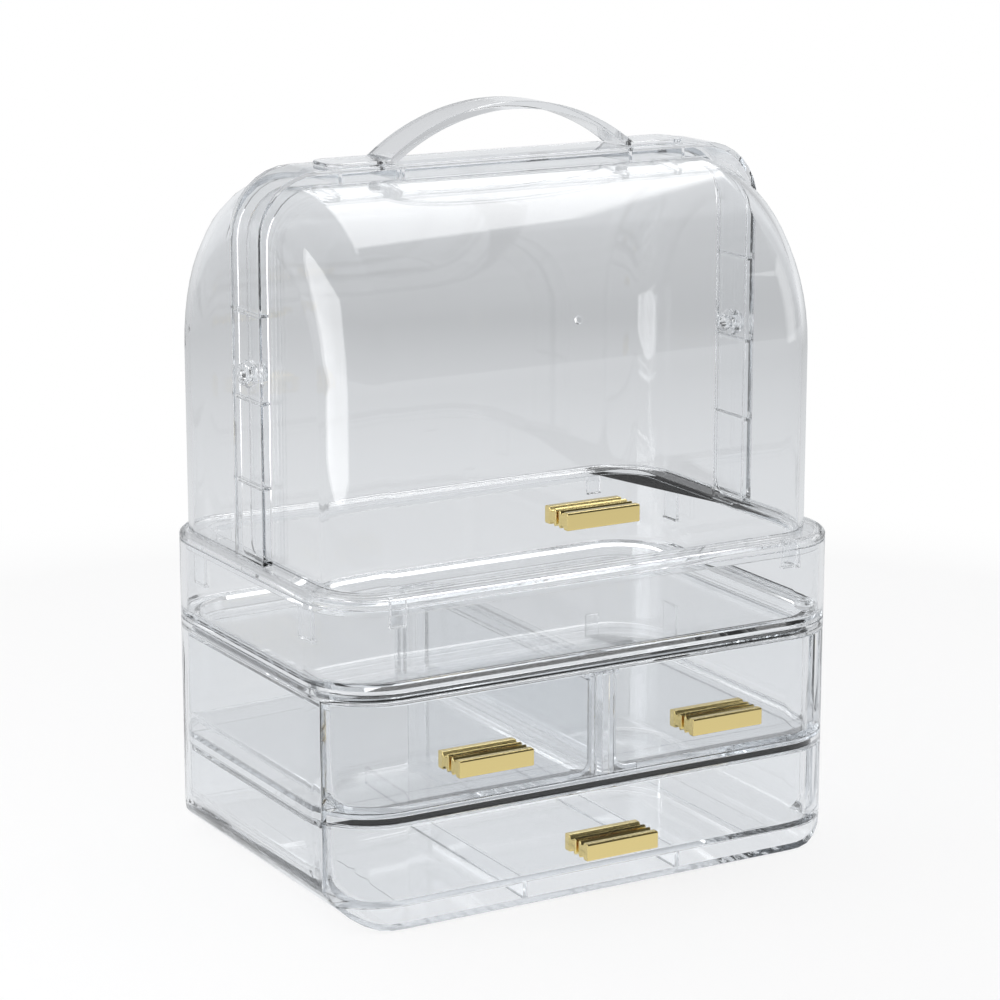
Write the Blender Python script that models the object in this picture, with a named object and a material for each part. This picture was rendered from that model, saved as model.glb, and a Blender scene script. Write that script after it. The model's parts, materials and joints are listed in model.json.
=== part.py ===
"""Clear makeup storage box with a swing-up front lid, a tray and three drawers.

Lengths are in metres. +Z is up and the front faces -Y. Each piece is drawn about the
middle of the case, and the whole box then moves back by half the reach of the pulls, so
that the origin is the bottom centre of everything. The drawer case carries a shelf, a
divider and three drawers. A tray nests in its top, a rim closes the tray, and an arched
frame on the rim holds the rear cover, the front lid's hinge pins and the carry handle.
"""

from math import acos, copysign, cos, pi, radians, sin, sqrt

import bmesh
import bpy
from mathutils import Matrix, Vector

# Box
BOX_WIDTH = 0.280
BOX_DEPTH = 0.191
CORNER_RADIUS = 0.034
BELLY_RADIUS = 0.028
WALL = 0.0026
FIT_GAP = 0.0003

# Drawer case
SKID_HEIGHT = 0.0009
SKID_WIDTH = 0.014
SKID_LENGTH_SHARE = 0.70
SILL_RISE = 0.0120
GUIDE_RIB_WIDTH = 0.002
GUIDE_RIB_SHARE = 0.30
MOUTH_SHARE = 0.775
SHELF_RAIL_WIDTH = 0.0028
SHELF_RAIL_HEIGHT = 0.002
TOP_RING_HEIGHT = 0.005
TOP_RING_WIDTH = 0.0079

# Shelf and divider
SHELF_THICKNESS = 0.003
SHELF_LIP_HEIGHT = 0.0064
SHELF_LIP_WIDTH = 0.002
DIVIDER_THICKNESS = 0.003
FRONT_POST_WIDTH = 0.0094
FRONT_POST_DEPTH = 0.0075
REAR_POST_WIDTH = 0.0166
REAR_POST_DEPTH = 0.008
FLANGE_WIDTH = 0.019
FLANGE_THICKNESS = 0.0018
FLANGE_SPLAY = 0.004

# Drawers
DRAWER_WALL = 0.0022
BOTTOM_FRONT_HEIGHT = 0.038
UPPER_FRONT_HEIGHT = 0.0504
BOTTOM_DRAWER_RADIUS = 0.013
UPPER_DRAWER_RADIUS = 0.008
DRAWER_SIDE_PLAY = 0.0010
DRAWER_TOP_PLAY = 0.0009
DRAWER_REAR_ROOM = 0.0089

# Tray
TRAY_WALL_HEIGHT = 0.0387
PLUG_DEPTH = 0.0067
PLUG_DRAFT = 0.0021
TRAY_FILLET = 0.0020

# Rim
RIM_HEIGHT = 0.0042
RIM_LEDGE_WIDTH = 0.016
RIM_EDGE_CHAMFER = 0.0019
RIM_SPIGOT_DEPTH = 0.0040
RIM_SPIGOT_THICKNESS = 0.0020
SIDE_TAB_WIDTH = 0.012
SIDE_TAB_DROP = 0.022
FRONT_TAB_WIDTH = 0.008
FRONT_TAB_DROP = 0.012
TAB_THICKNESS = 0.0016
TAB_BARB = 0.0010

# Arched frame
FRAME_STEP = 0.004
FRAME_BAND = 0.030
FRAME_CORNER_RADIUS = 0.031
FRAME_LEG_THICKNESS = 0.0050
FRAME_TOP_THICKNESS = 0.0070
FRAME_WEB = 0.0020
FRAME_RIB = 0.0014
LEG_RIB_SHARES = (0.25, 0.50, 0.78)
TOP_RIB_ROOM = 0.012
BOSS_DIAMETER = 0.0125
TONGUE_WIDTH = 0.016
TONGUE_THICKNESS = 0.0020
TONGUE_DROP = 0.0060

# Lid and rear cover
LID_SKIRT = 0.0885
LID_RADIUS = 0.0845
LID_EDGE_RADIUS = 0.024
LID_SIDE_GAP = 0.0008
LID_TOP_GAP = 0.0015
LID_REAR_REACH = 0.0073
LID_HEEL_RADIUS = 0.008
LID_BOTTOM_GAP = 0.0005
COVER_SWING_GAP = 0.0029
COVER_STEP = 0.0005
COVER_EDGE_RADIUS = 0.028

# Hinge pins
PIN_DIAMETER = 0.0060
PIN_HEAD_DIAMETER = 0.0105
PIN_HEAD_HEIGHT = 0.0016
PIN_COLLAR_DIAMETER = 0.0085
PIN_COLLAR_HEIGHT = 0.0020

# Carry handle
HANDLE_PLATE_MARGIN = 0.0225
HANDLE_PLATE_THICKNESS = 0.0020
HANDLE_BAND = 0.0225
HANDLE_FOOT_SPAN = 0.149
HANDLE_GRIP_SPAN = 0.1212
HANDLE_RISE = 0.0265
HANDLE_THICKNESS = 0.0063
HANDLE_SCREW_DIAMETER = 0.0030
HANDLE_SCREW_HEAD = 0.0056
HANDLE_SCREW_HEAD_HEIGHT = 0.0016
HANDLE_SCREW_BITE = 0.0040

# Pulls
PULL_LENGTH = 0.039
PULL_HEIGHT = 0.0084
PULL_FRONT_DEPTH = 0.0085
PULL_BACK_DEPTH = 0.0100
PULL_FLANGE = 0.0017
PULL_BAR_SHARE = 0.45
PULL_NECK_SHARE = 0.55
PULL_EDGE_RADIUS = 0.0009
PULL_SCREW_SPAN = 0.024
PULL_SCREW_DIAMETER = 0.0026
PULL_SCREW_BITE = 0.0050
PULL_SCREW_HEAD = 0.0044
PULL_SCREW_HEAD_HEIGHT = 0.0014
UPPER_PULL_SHARE = 0.45
UPPER_PULL_HEIGHT_SHARE = 0.357
BOTTOM_PULL_OFFSET = 0.005
BOTTOM_PULL_HEIGHT_SHARE = 0.295
LID_PULL_HEIGHT_SHARE = 0.269

# Corner stud on the tray ledge
STUD_DIAMETER = 0.0100
STUD_HEIGHT = 0.0048
STUD_INSET = 0.0095
STUD_ANGLE = radians(-39)

# Facets of round stretches
CORNER_STEPS = 8
BELLY_STEPS = 7
EDGE_STEPS = 6
DOME_STEPS = 14
ARC_STEPS = 24
SMALL_STEPS = 5
PIN_SIDES = 24
SCREW_SIDES = 14
SMOOTH_ANGLE = radians(32)

# Margin by which a cutting shape passes the face it cuts
OVERSHOOT = 0.004

# Names and signs of the two sides of the box
SIDES = (("left", -1), ("right", 1))

# Places worked out from the sizes above
HALF_WIDTH = BOX_WIDTH / 2
HALF_DEPTH = BOX_DEPTH / 2
FLOOR_TOP = SKID_HEIGHT + WALL
MOUTH_EDGE = -HALF_DEPTH * MOUTH_SHARE
BOTTOM_DRAWER_FLOOR = SILL_RISE + FIT_GAP
BOTTOM_FRONT_TOP = BOTTOM_DRAWER_FLOOR + BOTTOM_FRONT_HEIGHT
SHELF_BOTTOM = BOTTOM_FRONT_TOP + FIT_GAP
SHELF_TOP = SHELF_BOTTOM + SHELF_LIP_HEIGHT
UPPER_DRAWER_FLOOR = SHELF_TOP + FIT_GAP
UPPER_FRONT_TOP = UPPER_DRAWER_FLOOR + UPPER_FRONT_HEIGHT
CASE_CEILING = UPPER_FRONT_TOP + FIT_GAP
CASE_TOP = CASE_CEILING + TOP_RING_HEIGHT
TRAY_BOTTOM = CASE_TOP + FIT_GAP
TRAY_LEDGE_TOP = TRAY_BOTTOM + WALL
TRAY_TOP = TRAY_BOTTOM + TRAY_WALL_HEIGHT
PLUG_BOTTOM = TRAY_BOTTOM - PLUG_DEPTH
PLUG_INSET = TOP_RING_WIDTH + FIT_GAP
DIVIDER_TOP = PLUG_BOTTOM - FIT_GAP
UPPER_BODY_TOP = DIVIDER_TOP - FLANGE_THICKNESS - DRAWER_TOP_PLAY
RAIL_TOP = SHELF_BOTTOM - FIT_GAP
BOTTOM_BODY_TOP = RAIL_TOP - SHELF_RAIL_HEIGHT - DRAWER_TOP_PLAY / 2
DRAWER_REAR = HALF_DEPTH - WALL - DRAWER_REAR_ROOM
MOUTH_BEND = max(0, CORNER_RADIUS - HALF_DEPTH - MOUTH_EDGE)
MOUTH_HALF_WIDTH = HALF_WIDTH - CORNER_RADIUS + sqrt((CORNER_RADIUS - WALL) ** 2 - MOUTH_BEND ** 2)
DRAWER_HALF_WIDTH = MOUTH_HALF_WIDTH - DRAWER_SIDE_PLAY
RIM_BOTTOM = TRAY_TOP + FIT_GAP
RIM_TOP = RIM_BOTTOM + RIM_HEIGHT
RIM_LEDGE_BOTTOM = RIM_TOP - WALL
SPIGOT_INSET = WALL + FIT_GAP
FRAME_BOTTOM = RIM_TOP + FIT_GAP
PIVOT_HEIGHT = RIM_TOP + LID_SKIRT
FRAME_HALF_WIDTH = HALF_WIDTH - FRAME_STEP
FRAME_INNER_HALF_WIDTH = FRAME_HALF_WIDTH - FRAME_LEG_THICKNESS
FRAME_UNDERSIDE = PIVOT_HEIGHT + LID_RADIUS + LID_TOP_GAP
FRAME_TOP = FRAME_UNDERSIDE + FRAME_TOP_THICKNESS
LID_HALF_WIDTH = FRAME_INNER_HALF_WIDTH - LID_SIDE_GAP
LID_BOTTOM = RIM_TOP + LID_BOTTOM_GAP
COVER_RADIUS = LID_RADIUS + COVER_SWING_GAP + WALL
COVER_HALF_WIDTH = FRAME_HALF_WIDTH - COVER_STEP
COVER_FRONT = FRAME_BAND / 2 + FIT_GAP
HANDLE_BOTTOM = FRAME_TOP + FIT_GAP
HANDLE_TOP = HANDLE_BOTTOM + HANDLE_RISE
HANDLE_SCREW_REACH = (HANDLE_FOOT_SPAN + HANDLE_GRIP_SPAN) / 4
HANDLE_SCREW_HOLE = HANDLE_SCREW_DIAMETER + 2 * FIT_GAP
PIN_HOLE_DIAMETER = PIN_DIAMETER + 2 * FIT_GAP
PULL_SCREW_HOLE = PULL_SCREW_DIAMETER + 2 * FIT_GAP
TONGUE_INNER = FRAME_INNER_HALF_WIDTH + FIT_GAP
BOX_SHIFT = Vector((0, (FIT_GAP + PULL_FRONT_DEPTH) / 2, 0))


def make_object(name, shape):
    """Turn a bmesh into a named object in the scene."""
    bmesh.ops.recalc_face_normals(shape, faces=shape.faces)
    mesh = bpy.data.meshes.new(name)
    shape.to_mesh(mesh)
    shape.free()
    item = bpy.data.objects.new(name, mesh)
    bpy.context.scene.collection.objects.link(item)
    return item


def loft(name, sections, closed=False):
    """Skin matching sections; a closed loft joins its ends, an open one caps them."""
    shape = bmesh.new()
    rows = [[shape.verts.new(point) for point in section] for section in sections]
    pairs = list(zip(rows, rows[1:]))
    if closed:
        pairs.append((rows[-1], rows[0]))
    else:
        shape.faces.new(rows[0])
        shape.faces.new(rows[-1])
    for lower, upper in pairs:
        for first in range(len(lower)):
            second = (first + 1) % len(lower)
            shape.faces.new((lower[first], lower[second], upper[second], upper[first]))
    return make_object(name, shape)


def prism(name, outline, start, end, axis):
    """Extrude a 2-D outline along X, Y or Z; the outline's axes are the other two."""
    places = {
        "X": lambda u, v, w: (w, u, v),
        "Y": lambda u, v, w: (u, w, v),
        "Z": lambda u, v, w: (u, v, w),
    }
    place = places[axis]
    sections = [[place(u, v, level) for u, v in outline] for level in (start, end)]
    return loft(name, sections)


def block(name, x_range, y_range, z_range):
    """A plain block between two corners."""
    low = Vector((x_range[0], y_range[0], z_range[0]))
    high = Vector((x_range[1], y_range[1], z_range[1]))
    shape = bmesh.new()
    size = Matrix.Diagonal((high - low).to_4d())
    bmesh.ops.create_cube(shape, size=1, matrix=Matrix.Translation((low + high) / 2) @ size)
    return make_object(name, shape)


def rod(name, diameter, start, end, axis, centre, sides=PIN_SIDES):
    """A round bar along X, Y or Z through a 2-D centre on the other two axes."""
    outline = []
    for side in range(sides):
        angle = 2 * pi * (side + 1 / 2) / sides
        outline.append((centre[0] + diameter / 2 * cos(angle), centre[1] + diameter / 2 * sin(angle)))
    return prism(name, outline, start, end, axis)


def combine(target, tool, operation):
    """Apply one Boolean to the target and use the tool up."""
    modifier = target.modifiers.new(operation.lower(), "BOOLEAN")
    modifier.operation = operation
    modifier.object = tool
    modifier.solver = "EXACT"
    graph = bpy.context.evaluated_depsgraph_get()
    result = bpy.data.meshes.new_from_object(target.evaluated_get(graph))
    target.modifiers.clear()
    target.data = result
    bpy.data.objects.remove(tool)
    return target


def cut(target, *tools):
    """Take the tools away from the target."""
    for tool in tools:
        combine(target, tool, "DIFFERENCE")
    return target


def join(target, *tools):
    """Fuse the tools with the target."""
    for tool in tools:
        combine(target, tool, "UNION")
    return target


def keep(target, *tools):
    """Keep only what the target shares with each tool."""
    for tool in tools:
        combine(target, tool, "INTERSECT")
    return target


def arc(centre, radius, start, end, steps):
    """Points of a circular arc, both ends included, angles in radians."""
    points = []
    for step in range(steps + 1):
        angle = start + (end - start) * step / steps
        points.append((centre[0] + radius * cos(angle), centre[1] + radius * sin(angle)))
    return points


def plan_outline(inset):
    """The box seen from above, drawn in by an inset."""
    radius = CORNER_RADIUS - inset
    points = []
    for quarter, (side, face) in enumerate(((1, 1), (-1, 1), (-1, -1), (1, -1))):
        centre = (side * (HALF_WIDTH - CORNER_RADIUS), face * (HALF_DEPTH - CORNER_RADIUS))
        points += arc(centre, radius, quarter * pi / 2, (quarter + 1) * pi / 2, CORNER_STEPS)
    return points


def plan_prism(name, inset, bottom, top):
    """An upright prism of the box's plan."""
    return prism(name, plan_outline(inset), bottom, top, "Z")


def plan_sweep(name, profile, closed=False):
    """Sweep a profile of (inset, height) pairs round the plan of the box."""
    sections = [[(x, y, height) for x, y in plan_outline(inset)] for inset, height in profile]
    return loft(name, sections, closed)


def trough_outline(left, right, bottom, top, radius):
    """Front view of a trough: square at the top, rounded at the lower corners."""
    points = [(right, top), (left, top)]
    points += arc((left + radius, bottom + radius), radius, pi, 3 * pi / 2, BELLY_STEPS)
    points += arc((right - radius, bottom + radius), radius, 3 * pi / 2, 2 * pi, BELLY_STEPS)
    return points


def belly_outline(inset, top):
    """Front view of the drawer case, drawn in by an inset."""
    half = HALF_WIDTH - inset
    return trough_outline(-half, half, SKID_HEIGHT + inset, top, BELLY_RADIUS - inset)


def drawer_case():
    """The outer case: rounded belly, open front, skids, guide ribs and shelf rails."""
    reach = HALF_DEPTH + OVERSHOOT
    case = prism("drawer_case", belly_outline(0, CASE_TOP), -reach, reach, "Y")
    keep(case, plan_prism("case_plan", 0, -OVERSHOOT, CASE_TOP + OVERSHOOT))
    cavity = prism("case_cavity", belly_outline(WALL, CASE_CEILING), -reach, reach, "Y")
    keep(cavity, plan_prism("cavity_plan", WALL, -OVERSHOOT, CASE_TOP))
    cut(case, cavity)
    cut(case, plan_prism("top_opening", TOP_RING_WIDTH, CASE_CEILING - OVERSHOOT, CASE_TOP + OVERSHOOT))
    mouth_sides = (-HALF_WIDTH - OVERSHOOT, HALF_WIDTH + OVERSHOOT)
    cut(case, block("mouth", mouth_sides, (-reach, MOUTH_EDGE), (SILL_RISE, CASE_CEILING)))

    rib_place = HALF_WIDTH * GUIDE_RIB_SHARE
    skid_outer = HALF_WIDTH - BELLY_RADIUS
    rail_outer = HALF_WIDTH - WALL / 2
    rail_inner = HALF_WIDTH - WALL - SHELF_RAIL_WIDTH
    rib_front = -HALF_DEPTH + WALL / 2
    skid_half = HALF_DEPTH * SKID_LENGTH_SHARE
    rail_rear = HALF_DEPTH - CORNER_RADIUS
    for side in (-1, 1):
        rib = sorted((side * (rib_place - GUIDE_RIB_WIDTH / 2), side * (rib_place + GUIDE_RIB_WIDTH / 2)))
        join(case, block("guide_rib", rib, (rib_front, DRAWER_REAR), (FLOOR_TOP - WALL / 2, SILL_RISE)))
        skid = sorted((side * (skid_outer - SKID_WIDTH), side * skid_outer))
        join(case, block("skid", skid, (-skid_half, skid_half), (0, FLOOR_TOP - WALL / 2)))
        rail = sorted((side * rail_inner, side * rail_outer))
        rail_heights = (RAIL_TOP - SHELF_RAIL_HEIGHT, RAIL_TOP)
        join(case, block("shelf_rail", rail, (MOUTH_EDGE, rail_rear), rail_heights))
    return case


def drawer_shelf():
    """The shelf over the bottom drawer, with a down-turned lip flush with the front."""
    inset = WALL + FIT_GAP
    profile = [
        (inset, SHELF_TOP),
        (inset, SHELF_BOTTOM),
        (inset + SHELF_LIP_WIDTH, SHELF_BOTTOM),
        (inset + SHELF_LIP_WIDTH, SHELF_TOP - SHELF_THICKNESS),
    ]
    shelf = plan_sweep("drawer_shelf", profile)
    lip_inner = inset + SHELF_LIP_WIDTH / 2
    lip_profile = [(0, SHELF_BOTTOM), (0, SHELF_TOP), (lip_inner, SHELF_TOP), (lip_inner, SHELF_BOTTOM)]
    lip = plan_sweep("shelf_lip", lip_profile, closed=True)
    behind = (MOUTH_EDGE - FIT_GAP, HALF_DEPTH + OVERSHOOT)
    across = (-HALF_WIDTH - OVERSHOOT, HALF_WIDTH + OVERSHOOT)
    cut(lip, block("lip_trim", across, behind, (SHELF_BOTTOM - OVERSHOOT, SHELF_TOP + OVERSHOOT)))
    return join(shelf, lip)


def divider():
    """The upright wall between the upper drawers: posts, web and a splayed flange."""
    front = -HALF_DEPTH
    web_front = front + FRONT_POST_DEPTH
    rear = HALF_DEPTH - WALL - FIT_GAP
    web_rear = rear - REAR_POST_DEPTH
    web = DIVIDER_THICKNESS / 2
    post = FRONT_POST_WIDTH / 2
    tail = REAR_POST_WIDTH / 2
    right_side = [(post, front), (post, web_front), (web, web_front)]
    right_side += [(web, web_rear), (tail, web_rear), (tail, rear)]
    outline = right_side + [(-x, y) for x, y in reversed(right_side)]
    wall = prism("drawer_divider", outline, UPPER_DRAWER_FLOOR, DIVIDER_TOP, "Z")

    half = FLANGE_WIDTH / 2
    shoulder = DIVIDER_TOP - FLANGE_THICKNESS
    flange_outline = [
        (half, shoulder),
        (half, DIVIDER_TOP),
        (-half, DIVIDER_TOP),
        (-half, shoulder),
        (-web, shoulder),
        (-web, shoulder - FLANGE_SPLAY),
        (web, shoulder - FLANGE_SPLAY),
        (web, shoulder),
    ]
    flange_ends = (front + FRONT_POST_DEPTH / 2, rear - REAR_POST_DEPTH / 2)
    return join(wall, prism("divider_flange", flange_outline, *flange_ends, "Y"))


def cavity_plan(bottom, top):
    """The room inside a drawer, seen from above: even walls behind, a full front corner."""
    side_inset = DRAWER_SIDE_PLAY + DRAWER_WALL
    rear = [(x, y) for x, y in plan_outline(WALL + side_inset) if y > 0]
    front = [(x - copysign(side_inset, x), y) for x, y in plan_outline(WALL) if y < 0]
    return prism("cavity_plan", rear + front, bottom, top, "Z")


def drawer(name, left, right, floor, body_top, front, radius):
    """An open drawer: a rounded trough behind a front that follows the box's plan."""
    reach = HALF_DEPTH + OVERSHOOT
    body_outline = trough_outline(left, right, floor, body_top, radius)
    body = prism(name, body_outline, -reach, DRAWER_REAR, "Y")
    keep(body, plan_prism("body_plan", WALL + DRAWER_SIDE_PLAY, floor - OVERSHOOT, body_top + OVERSHOOT))
    join(body, front)
    inner = (left + DRAWER_WALL, right - DRAWER_WALL)
    cavity_outline = trough_outline(*inner, floor + DRAWER_WALL, CASE_TOP, radius - DRAWER_WALL)
    cavity = prism("drawer_cavity", cavity_outline, -reach, DRAWER_REAR - DRAWER_WALL, "Y")
    keep(cavity, cavity_plan(floor, CASE_TOP + OVERSHOOT))
    return cut(body, cavity)


def drawer_front(outline, floor, top):
    """The front panel of a drawer, flush with the case on the box's plan."""
    reach = HALF_DEPTH + OVERSHOOT
    panel = prism("drawer_front", outline, -reach, MOUTH_EDGE - FIT_GAP, "Y")
    return keep(panel, plan_prism("front_plan", 0, floor, top))


def bottom_drawer():
    """The full-width drawer in the belly of the case."""
    front = drawer_front(
        belly_outline(0, BOTTOM_FRONT_TOP + OVERSHOOT), BOTTOM_DRAWER_FLOOR, BOTTOM_FRONT_TOP
    )
    body = drawer(
        "bottom_drawer", -DRAWER_HALF_WIDTH, DRAWER_HALF_WIDTH, BOTTOM_DRAWER_FLOOR,
        BOTTOM_BODY_TOP, front, BOTTOM_DRAWER_RADIUS,
    )
    height = BOTTOM_DRAWER_FLOOR + BOTTOM_FRONT_HEIGHT * BOTTOM_PULL_HEIGHT_SHARE
    place = Vector((BOTTOM_PULL_OFFSET, -HALF_DEPTH, height))
    drill_for_pull(body, place)
    return body, place


def upper_drawer(name, side):
    """One of the two drawers beside the divider; side is -1 for left, 1 for right."""
    post = FRONT_POST_WIDTH / 2 + FIT_GAP
    front_ends = sorted((side * post, side * (HALF_WIDTH + OVERSHOOT)))
    front_outline = [
        (front_ends[0], UPPER_DRAWER_FLOOR - OVERSHOOT),
        (front_ends[1], UPPER_DRAWER_FLOOR - OVERSHOOT),
        (front_ends[1], UPPER_FRONT_TOP + OVERSHOOT),
        (front_ends[0], UPPER_FRONT_TOP + OVERSHOOT),
    ]
    front = drawer_front(front_outline, UPPER_DRAWER_FLOOR, UPPER_FRONT_TOP)
    behind = sorted((0, side * FLANGE_WIDTH))
    cut(front, block("behind_front", behind, (WALL - HALF_DEPTH, 0), (0, CASE_TOP)))
    body_ends = sorted((side * (post + DRAWER_SIDE_PLAY / 2), side * DRAWER_HALF_WIDTH))
    body = drawer(name, *body_ends, UPPER_DRAWER_FLOOR, UPPER_BODY_TOP, front, UPPER_DRAWER_RADIUS)
    height = UPPER_DRAWER_FLOOR + UPPER_FRONT_HEIGHT * UPPER_PULL_HEIGHT_SHARE
    place = Vector((side * HALF_WIDTH * UPPER_PULL_SHARE, -HALF_DEPTH, height))
    drill_for_pull(body, place)
    return body, place


def drill_for_pull(panel, place):
    """Bore the two screw holes of a pull through a front panel."""
    for side in (-1, 1):
        centre = (place.x + side * PULL_SCREW_SPAN / 2, place.z)
        hole = rod(
            "screw_hole", PULL_SCREW_HOLE, place.y - OVERSHOOT, place.y + WALL + OVERSHOOT, "Y",
            centre, SCREW_SIDES,
        )
        cut(panel, hole)


def tray():
    """The open tray: a ledge on the case, a plug in its opening and upright walls."""
    recess_top = PLUG_INSET + WALL
    recess_bottom = recess_top + PLUG_DRAFT
    profile = [(PLUG_INSET + PLUG_DRAFT, PLUG_BOTTOM), (PLUG_INSET, TRAY_BOTTOM)]
    profile += [(0, TRAY_BOTTOM), (0, TRAY_TOP)]
    profile += [(WALL, TRAY_TOP), (WALL, TRAY_LEDGE_TOP + TRAY_FILLET)]
    profile += [(WALL + TRAY_FILLET, TRAY_LEDGE_TOP), (recess_top, TRAY_LEDGE_TOP)]
    profile += [(recess_bottom, PLUG_BOTTOM + WALL)]
    return plan_sweep("tray", profile)


def snap_tab(x_range, y_range, drop, barb_axis, barb_side):
    """A flat spring tab under the rim, with a small barb at its foot."""
    tab = block("snap_tab", x_range, y_range, (RIM_LEDGE_BOTTOM - drop, RIM_TOP - WALL / 2))
    foot = (RIM_LEDGE_BOTTOM - drop, RIM_LEDGE_BOTTOM - drop + TAB_BARB)
    ranges = {"X": list(x_range), "Y": list(y_range)}
    span = ranges[barb_axis]
    if barb_side > 0:
        span[1] += TAB_BARB
    else:
        span[0] -= TAB_BARB
    return join(tab, block("tab_barb", ranges["X"], ranges["Y"], foot))


def tray_rim():
    """The rim that closes the tray: a bevelled edge, a spigot and corner snap tabs."""
    spigot_inner = SPIGOT_INSET + RIM_SPIGOT_THICKNESS
    edge_top = RIM_TOP - RIM_EDGE_CHAMFER
    spigot_bottom = RIM_BOTTOM - RIM_SPIGOT_DEPTH
    profile = [(0, RIM_BOTTOM), (0, edge_top), (RIM_EDGE_CHAMFER, RIM_TOP)]
    profile += [(RIM_LEDGE_WIDTH, RIM_TOP), (RIM_LEDGE_WIDTH, RIM_LEDGE_BOTTOM)]
    profile += [(spigot_inner, RIM_LEDGE_BOTTOM), (spigot_inner, spigot_bottom)]
    profile += [(SPIGOT_INSET, spigot_bottom), (SPIGOT_INSET, RIM_BOTTOM)]
    rim = plan_sweep("tray_rim", profile, closed=True)

    tab_outer = spigot_inner + TAB_THICKNESS / 2
    side_far = HALF_DEPTH - CORNER_RADIUS
    front_far = HALF_WIDTH - CORNER_RADIUS + FRONT_TAB_WIDTH / 2
    for side in (-1, 1):
        for face in (-1, 1):
            x_range = sorted(side * (HALF_WIDTH - tab_outer + step) for step in (0, -TAB_THICKNESS))
            y_range = sorted((face * side_far, face * (side_far - SIDE_TAB_WIDTH)))
            join(rim, snap_tab(x_range, y_range, SIDE_TAB_DROP, "X", -side))
            y_range = sorted(face * (HALF_DEPTH - tab_outer + step) for step in (0, -TAB_THICKNESS))
            x_range = sorted((side * front_far, side * (front_far - FRONT_TAB_WIDTH)))
            join(rim, snap_tab(x_range, y_range, FRONT_TAB_DROP, "Y", -face))
        slot_outer = TONGUE_INNER + TONGUE_THICKNESS + FIT_GAP
        slot_x = sorted((side * (TONGUE_INNER - FIT_GAP), side * slot_outer))
        slot_half = TONGUE_WIDTH / 2 + FIT_GAP
        heights = (RIM_LEDGE_BOTTOM - OVERSHOOT, RIM_TOP + OVERSHOOT)
        cut(rim, block("tongue_slot", slot_x, (-slot_half, slot_half), heights))
    return rim


def arch_outline(half_outer, top_outer, radius_outer, half_inner, top_inner, radius_inner, bottom):
    """Front view of an arch: up the outside, over, and back down the inside."""
    outer_bend = (half_outer - radius_outer, top_outer - radius_outer)
    outer = [(half_outer, bottom)] + arc(outer_bend, radius_outer, 0, pi / 2, CORNER_STEPS)
    outer += [(-x, z) for x, z in reversed(outer)]
    inner_bend = (half_inner - radius_inner, top_inner - radius_inner)
    inner = [(half_inner, bottom)] + arc(inner_bend, radius_inner, 0, pi / 2, CORNER_STEPS)
    inner += [(-x, z) for x, z in reversed(inner)]
    return outer + inner[::-1]


def arch_frame():
    """The ribbed arch: a channel that opens inwards, with pin bosses and foot tongues."""
    inner_radius = FRAME_CORNER_RADIUS - FRAME_LEG_THICKNESS
    outline = arch_outline(
        FRAME_HALF_WIDTH, FRAME_TOP, FRAME_CORNER_RADIUS,
        FRAME_INNER_HALF_WIDTH, FRAME_UNDERSIDE, inner_radius, FRAME_BOTTOM,
    )
    half_band = FRAME_BAND / 2
    frame = prism("arch_frame", outline, -half_band, half_band, "Y")
    hollow_inside = (FRAME_INNER_HALF_WIDTH - OVERSHOOT, FRAME_UNDERSIDE - OVERSHOOT, inner_radius)
    hollow_outline = arch_outline(
        FRAME_HALF_WIDTH - FRAME_WEB, FRAME_TOP - FRAME_WEB, FRAME_CORNER_RADIUS - FRAME_WEB,
        *hollow_inside, FRAME_BOTTOM + FRAME_WEB,
    )
    half_hollow = half_band - FRAME_WEB
    cut(frame, prism("channel", hollow_outline, -half_hollow, half_hollow, "Y"))

    across = (-half_band + FRAME_WEB / 2, half_band - FRAME_WEB / 2)
    leg_height = FRAME_TOP - FRAME_BOTTOM
    for side in (-1, 1):
        leg = sorted((side * FRAME_INNER_HALF_WIDTH, side * (FRAME_HALF_WIDTH - FRAME_WEB / 2)))
        for share in LEG_RIB_SHARES:
            level = FRAME_BOTTOM + leg_height * share
            if abs(level - PIVOT_HEIGHT) < BOSS_DIAMETER / 2 + FRAME_RIB:
                level = PIVOT_HEIGHT - BOSS_DIAMETER / 2 - FRAME_RIB
            join(frame, block("leg_rib", leg, across, (level - FRAME_RIB / 2, level + FRAME_RIB / 2)))
        join(frame, rod("pin_boss", BOSS_DIAMETER, *leg, "X", (0, PIVOT_HEIGHT)))
        hole = sorted((side * (FRAME_INNER_HALF_WIDTH - OVERSHOOT), side * (FRAME_HALF_WIDTH + OVERSHOOT)))
        cut(frame, rod("pin_hole", PIN_HOLE_DIAMETER, *hole, "X", (0, PIVOT_HEIGHT)))
        tongue = sorted((side * TONGUE_INNER, side * (TONGUE_INNER + TONGUE_THICKNESS)))
        tongue_heights = (RIM_TOP - TONGUE_DROP, FRAME_BOTTOM + FRAME_WEB / 2)
        join(frame, block("tongue", tongue, (-TONGUE_WIDTH / 2, TONGUE_WIDTH / 2), tongue_heights))
    rib_places = [0]
    for side in (-1, 1):
        screw_place = side * HANDLE_SCREW_REACH
        hole = (HANDLE_SCREW_HOLE, FRAME_UNDERSIDE, FRAME_TOP + OVERSHOOT)
        cut(frame, rod("screw_hole", *hole, "Z", (screw_place, 0), SCREW_SIDES))
        rib_places += [screw_place - TOP_RIB_ROOM, screw_place + TOP_RIB_ROOM]
    for place in rib_places:
        rib = (place - FRAME_RIB / 2, place + FRAME_RIB / 2)
        join(frame, block("top_rib", rib, across, (FRAME_UNDERSIDE, FRAME_TOP - FRAME_WEB / 2)))
    return frame


def dome_outline(radius, bottom):
    """Side view of the dome: a half circle over the pivot on an upright skirt."""
    return [(-radius, bottom)] + arc((0, PIVOT_HEIGHT), radius, pi, 0, 2 * DOME_STEPS) + [(radius, bottom)]


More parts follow.
